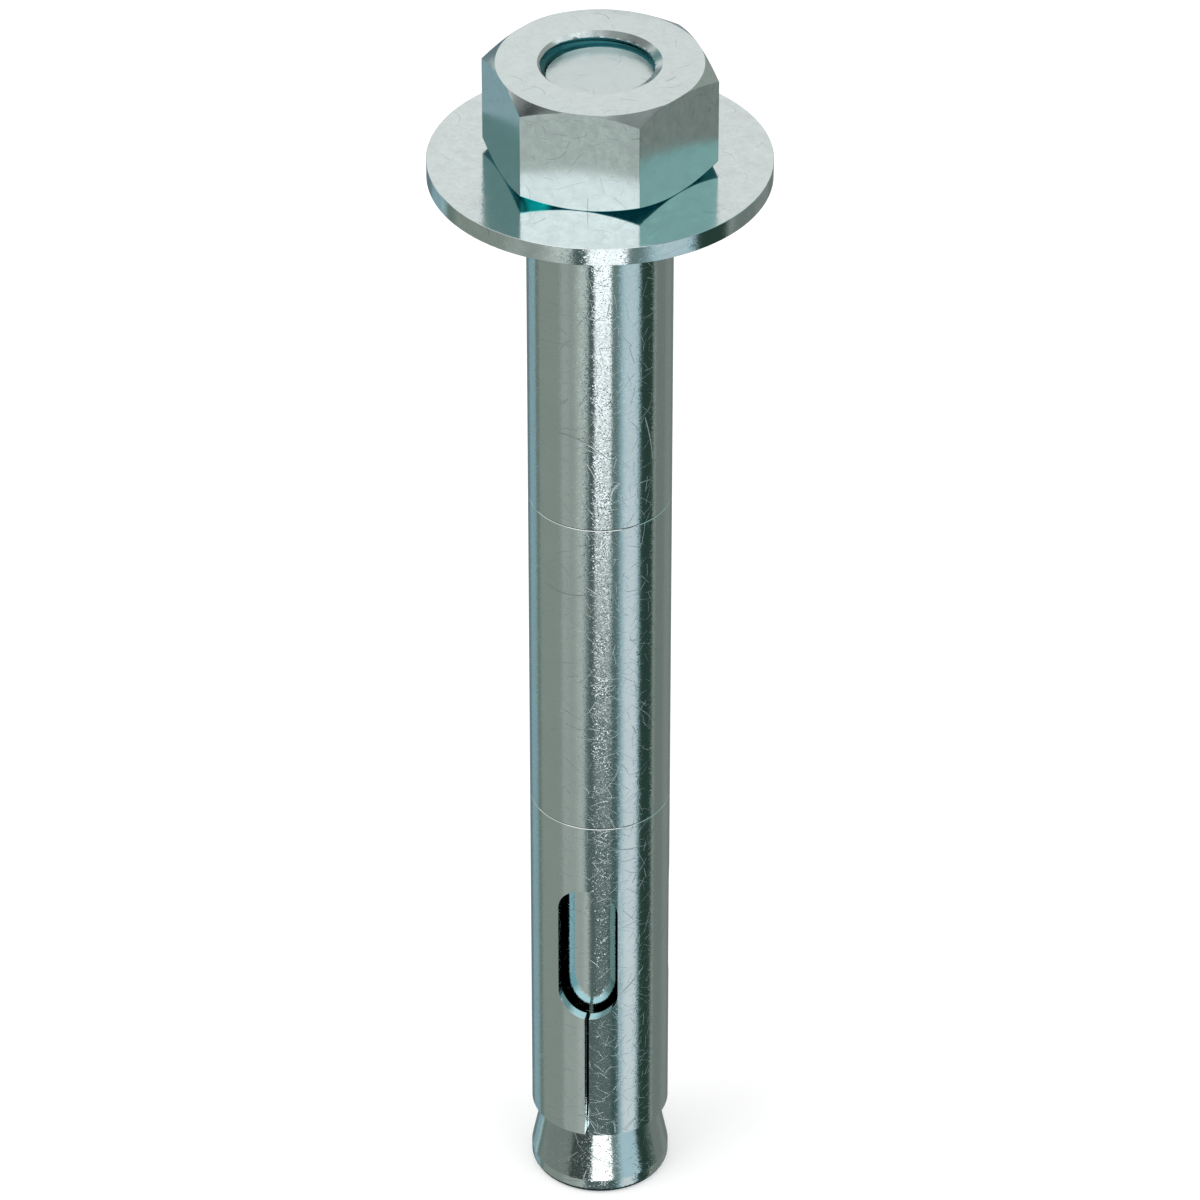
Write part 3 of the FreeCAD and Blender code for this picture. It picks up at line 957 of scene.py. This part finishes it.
@dataclass
class HexNut:
    """The hexagon nut with its inner thread, in millimetres and degrees.

    It reaches 0.035 mm lower than its CAD node, to 0.005 mm over the washer, as the real
    nut lies on it.
    """

    # Rows of the chamfer from the end face to the flat: the share of the way down it, and
    # how far the row lies inwards and downwards for its broken edges, in edge breaks.
    CHAMFER_ROWS = np.array(
        (
            (0.0, 1.0, 0.0), (0.0, 0.3, 0.15), (0.25, 0.0, 0.3),
            (0.5, 0.0, 0.3), (0.75, 0.0, 0.3), (1.0, 0.2, 0.5),
        )
    )

    thread: ScrewThread = field(default_factory=ScrewThread)
    base: float = 80.36
    height: float = 6.875
    flat_radius: float = 6.5
    face_radius: float = 6.52
    chamfer_angle: float = 31.0
    bore_radius: float = 3.415
    mouth_radius: float = 3.9
    mouth_angle: float = 28.0
    edge_break: float = 0.015
    corner_power: float = 3000.0
    column_step: float = 3.0
    corner_steps: tuple[float, ...] = (0.12, 0.25, 0.4, 0.6, 0.9, 1.4, 2.1)
    flat_rows: int = 12
    bore_rows_per_turn: int = 30
    smooth_angle: float = 18.0
    # Painted shade in the bore: deep teal for the light that bounces in it.
    bore_shade_colour: Colour = (0.06, 0.25, 0.28)
    wall_fade: Fade = (0.2, 0.1)
    edge_fade: Fade = (0.01, -0.04)
    # Painted shade in the thread's grooves, as dark rings that climb with them.
    groove_shade_colour: Colour = (0.02, 0.11, 0.13)
    ring_step: float = 0.3
    ring_climb: float = 2.0
    ring_wave: Fade = (-0.1, 0.8)
    ring_force: float = 0.85
    # Painted shade on the lower chamfer, close over the washer.
    chamfer_shade_colour: Colour = (0.03, 0.25, 0.29)
    chamfer_fade: Fade = (0.06, 0.03)
    corner_fade: Fade = (-0.2, 0.0)
    # Painted highlight on the lower chamfer, at the left of the front flat.
    lit_colour: Colour = (0.07, 0.95, 0.97)
    lit_left: Fade = (-4.0, -3.65)
    lit_right: Fade = (-1.6, -2.4)
    lit_front: Fade = (-4.0, -5.0)

    @property
    def top(self) -> float:
        """Height of the upper end face."""
        return self.base + self.height

    @property
    def chamfer_slope(self) -> float:
        """Drop of the chamfers for each millimetre outwards."""
        return math.tan(math.radians(self.chamfer_angle))

    @property
    def mouth_slope(self) -> float:
        """Depth of the countersinks for each millimetre inwards."""
        return math.tan(math.radians(self.mouth_angle))

    def build(self, groups: FinishGroups) -> None:
        """Make the nut in place of its CAD node.

        Args:
            groups: The shared node groups.
        """
        # Painted shade in the bore, its grooves and on the lower chamfer, and a painted highlight
        # on that chamfer.
        painted_light_and_shade = (
            (self.bore_wall, self.bore_shade_colour),
            (self.groove_shade_rings, self.groove_shade_colour),
            (self.lower_chamfer, self.chamfer_shade_colour),
            (self.lit_chamfer, self.lit_colour),
        )
        material = NUT_ZINC.material(groups, painted_light_and_shade)
        points, faces = self.shell()
        nut = make_piece("threaded_nut", points, faces, material, self.smooth_angle)
        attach(nut, "nut")
        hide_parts("hex_nut")

    def bore_wall(self, wiring: Wiring, place: Socket) -> Socket:
        """Mask of the bore's wall below the countersink, painted teal for shade.

        The painted shade stands for the light that bounces in the bore, and is left out for
        rays that a mirror sends, so the stud's end mirrors the wall without it.

        Args:
            wiring: The material's wiring.
            place: The place in millimetres.

        Returns:
            The mask, 0 for rays that a mirror sends.
        """
        inner = wiring.fade(axis_distance(wiring, place), self.mouth_radius, self.wall_fade)
        edge = self.top - (self.mouth_radius - self.bore_radius) * self.mouth_slope
        below = wiring.fade(wiring.parts(place)["Z"], edge, self.edge_fade)
        mirrored = wiring.node("ShaderNodeLightPath").outputs["Is Glossy Ray"]
        return wiring.product(inner, below, wiring.math("SUBTRACT", 1.0, mirrored))

    def groove_shade_rings(self, wiring: Wiring, place: Socket) -> Socket:
        """Mask of dark rings of painted groove shade on the bore's wall, which climb with the
        thread.

        A ring is a crest of a sine wave along the height, less the climb of each turn.

        Args:
            wiring: The material's wiring.
            place: The place in millimetres.

        Returns:
            The mask, 0 off the wall.
        """
        parts = wiring.parts(place)
        turned = wiring.math("DIVIDE", wiring.math("ARCTAN2", parts["Y"], parts["X"]), math.tau)
        climb = self.ring_climb * self.ring_step
        level = wiring.math("MULTIPLY_ADD", turned, -climb, parts["Z"])
        wave = wiring.math("SINE", wiring.math("MULTIPLY", level, math.tau / self.ring_step))
        rings = wiring.between(wave, *self.ring_wave, 0.0, self.ring_force)
        return wiring.product(self.bore_wall(wiring, place), rings)

    def lower_chamfer(self, wiring: Wiring, place: Socket) -> Socket:
        """Mask of the lower chamfer, close over the washer, painted deep teal for shade.

        The chamfer's surface lies at the base, and rises outside the end face by the
        chamfer's slope.

        Args:
            wiring: The material's wiring.
            place: The place in millimetres.

        Returns:
            The mask, 0 on the flats and on the end face.
        """
        radius = axis_distance(wiring, place)
        start = self.base - self.face_radius * self.chamfer_slope
        surface = wiring.math("MULTIPLY_ADD", radius, self.chamfer_slope, start)
        above = wiring.math("SUBTRACT", wiring.parts(place)["Z"], surface)
        outer = wiring.fade(radius, self.flat_radius, self.corner_fade)
        return wiring.product(wiring.fade(above, 0.0, self.chamfer_fade), outer)

    def lit_chamfer(self, wiring: Wiring, place: Socket) -> Socket:
        """Mask of the painted highlight on the lower chamfer, at the left of the front flat.

        Args:
            wiring: The material's wiring.
            place: The place in millimetres.

        Returns:
            The mask, 0 on the rest of the nut.
        """
        parts = wiring.parts(place)
        left = wiring.fade(parts["X"], 0.0, self.lit_left)
        right = wiring.fade(parts["X"], 0.0, self.lit_right)
        front = wiring.fade(parts["Y"], 0.0, self.lit_front)
        return wiring.product(left, right, front, self.lower_chamfer(wiring, place))

    def columns(self) -> np.ndarray:
        """Choose the angles of the columns of points round the nut.

        Returns:
            Even steps with closer ones on both sides of each corner, in radians.
        """
        even = np.arange(0.0, 360.0, self.column_step)
        close = np.array(self.corner_steps)
        corners = np.arange(0.0, 361.0, 60.0)[:, None]
        near = np.concatenate((corners + close, corners - close), axis=1).ravel()
        near = near[(near > 0.0) & (near < 360.0)]
        return np.radians(np.unique(np.concatenate((even, near, [360.0]))))

    def hexagon(self, angles: np.ndarray) -> np.ndarray:
        """Work out the radius of the six flats, the corners a little rounded.

        Each flat bounds the radius by its distance over the cosine from its middle. The
        bounds are joined by a power mean, which rounds the corners by a few hundredths.

        Args:
            angles: The angles of the columns.

        Returns:
            The radius at each angle.
        """
        middles = np.radians(np.arange(30.0, 390.0, 60.0))[:, None]
        share = np.maximum(np.cos(angles[None, :] - middles), 1e-6) / self.flat_radius
        largest = share.max(axis=0)
        total = ((share / largest) ** self.corner_power).sum(axis=0)
        return 1.0 / (largest * total ** (1.0 / self.corner_power))

    def outside(self, angles: np.ndarray) -> np.ndarray:
        """Work out the end faces, the chamfers and the flats.

        Each column runs from the upper mouth over the end face, the chamfer cone and the
        flat, and on to the lower mouth the same way.

        Args:
            angles: The angles of the columns.

        Returns:
            The points, one row of them round the nut for each row of the array.
        """
        corner = self.hexagon(angles)
        rim = np.minimum(corner, self.face_radius)
        drop = np.maximum(corner - self.face_radius, 0.0) * self.chamfer_slope
        soft = self.edge_break
        share, inwards, down = self.CHAMFER_ROWS.T[:, :, None]
        mouth = np.array((self.mouth_radius, self.mouth_radius + soft))[:, None]
        mouth = np.broadcast_to(mouth, (2, angles.size))
        chamfer = rim + (corner - rim) * share - soft * inwards
        radii = np.concatenate((mouth, chamfer))
        chamfer_heights = self.top - soft * down - drop * share
        heights = np.concatenate((np.full_like(mouth, self.top), chamfer_heights))
        way = np.linspace(0.0, 1.0, self.flat_rows)[:, None]
        upper, lower = self.top - soft - drop, self.base + soft + drop
        flat_heights = upper * (1.0 - way) + lower * way
        flat = np.broadcast_to(corner, flat_heights.shape)
        radii = np.concatenate((radii, flat, radii[::-1]))
        mirrored = self.base + self.top - heights[::-1]
        return round_axis(radii, angles, np.concatenate((heights, flat_heights, mirrored)))

    def inside(self, angles: np.ndarray) -> np.ndarray:
        """Work out the threaded bore, on lines that climb one pitch a turn.

        The groove's depth is its full depth less the distance from its middle over the
        flank's slope, held between the bore and the root. The mouth's cone cuts the bore
        at both ends, and the lines that pass an end face stop on it.

        Args:
            angles: The angles of the columns.

        Returns:
            The points, one row for each line.
        """
        thread = self.thread
        root = thread.crest_radius + thread.clearance
        half = thread.crest_width / 2 + thread.clearance
        turns = np.arange(-1.0, self.height / thread.pitch + 1.0, 1.0 / self.bore_rows_per_turn)
        first = math.floor(self.base / thread.pitch) * thread.pitch
        lines = (turns * thread.pitch)[:, None] + first
        heights = lines + thread.pitch * angles[None, :] / math.tau
        heights = np.clip(heights, self.base, self.top)
        aside = np.abs((lines / thread.pitch + 0.5) % 1.0 - 0.5) * thread.pitch
        groove = np.clip(root - (aside - half) / thread.flank_slope, self.bore_radius, root)
        inward = np.minimum(heights - self.base, self.top - heights)
        cone = self.mouth_radius - inward / self.mouth_slope
        radii = np.where(inward <= 0.0, self.mouth_radius, np.maximum(groove, cone))
        return round_axis(radii, angles, heights)

    def shell(self) -> tuple[np.ndarray, np.ndarray]:
        """Join the outer surface and the bore.

        Returns:
            The points and the triangles.
        """
        angles = self.columns()
        outside, inside = self.outside(angles), self.inside(angles)
        outer_faces = grid_triangles(*outside.shape[:2])[:, ::-1]
        inner_faces = grid_triangles(*inside.shape[:2]) + outside.shape[0] * outside.shape[1]
        points = np.concatenate((outside.reshape(-1, 3), inside.reshape(-1, 3)))
        return points, np.concatenate((outer_faces, inner_faces))


@dataclass
class Sleeves:
    """The slotted expansion sleeve and the two spacers over it, in millimetres.

    The bore and the cut faces are painted near black for shade, and painted lighter where
    light reaches them: over the slits' top, in the windows, and under their bottom.
    """

    nodes: tuple[str, ...] = ("expansion_sleeve", "middle_spacer", "upper_spacer")
    outer_radius: float = 4.665
    # Painted shade on the bore and the cut faces of the windows and slits.
    cut_shade_colour: Colour = (0.01, 0.02, 0.02)
    cut_fade: Fade = (-0.03, -0.09)
    bore_radius: float = 3.93
    # Painted light on the cut faces that light reaches.
    lit_colour: Colour = (0.40, 0.66, 0.70)
    wall_fade: Fade = (0.02, 0.08)
    slit_top: float = 15.0
    top_fade: Fade = (0.0, 0.2)
    slit_bottom: float = 7.6
    bottom_fade: Fade = (0.0, -0.3)

    def build(self, groups: FinishGroups) -> None:
        """Dress the three sleeves.

        Args:
            groups: The shared node groups.
        """
        # Painted shade on the bore and the cut faces, and painted light where light reaches them.
        painted_light_and_shade = ((self.cut_faces, self.cut_shade_colour), (self.lit_faces, self.lit_colour))
        material = SLEEVE_ZINC.material(groups, painted_light_and_shade)
        for node in self.nodes:
            dress(node, material)

    def cut_faces(self, wiring: Wiring, place: Socket) -> Socket:
        """Mask of the bore and the windows' and slits' cut faces, painted near black for shade."""
        return wiring.fade(axis_distance(wiring, place), self.outer_radius, self.cut_fade)

    def lit_faces(self, wiring: Wiring, place: Socket) -> Socket:
        """Mask of the window's cut faces and of the slit's lower end, painted lighter for light.

        Args:
            wiring: The material's wiring.
            place: The place in millimetres.

        Returns:
            The mask, 0 in the bore and deep in the slit.
        """
        height = wiring.parts(place)["Z"]
        wall = wiring.fade(axis_distance(wiring, place), self.bore_radius, self.wall_fade)
        above = wiring.fade(height, self.slit_top, self.top_fade)
        below = wiring.fade(height, self.slit_bottom, self.bottom_fade)
        reached = wiring.math("MAXIMUM", above, below)
        return wiring.product(wall, reached, self.cut_faces(wiring, place))


@dataclass
class Washer:
    """The flat washer under the nut, in millimetres."""

    node: str = "washer"
    rim_radius: float = 10.875
    rim_fade: Fade = (-0.05, -0.02)

    def build(self, groups: FinishGroups) -> None:
        """Dress the washer."""
        dress(self.node, WASHER_ZINC.material(groups, coarse=self.stamped_rim))

    def stamped_rim(self, wiring: Wiring, place: Socket) -> Socket:
        """Mask of the stamped rim."""
        return wiring.fade(axis_distance(wiring, place), self.rim_radius, self.rim_fade)


def main() -> None:
    """Build the studio and dress every piece, from the stud outwards."""
    logging.basicConfig(level=logging.INFO, format="%(name)s: %(message)s")
    bpy.context.scene.view_settings.view_transform = "Standard"
    Studio().build()
    groups = FinishGroups()
    Stud().build(groups)
    Sleeves().build(groups)
    Washer().build(groups)
    HexNut().build(groups)


if __name__ == "__main__":
    main()
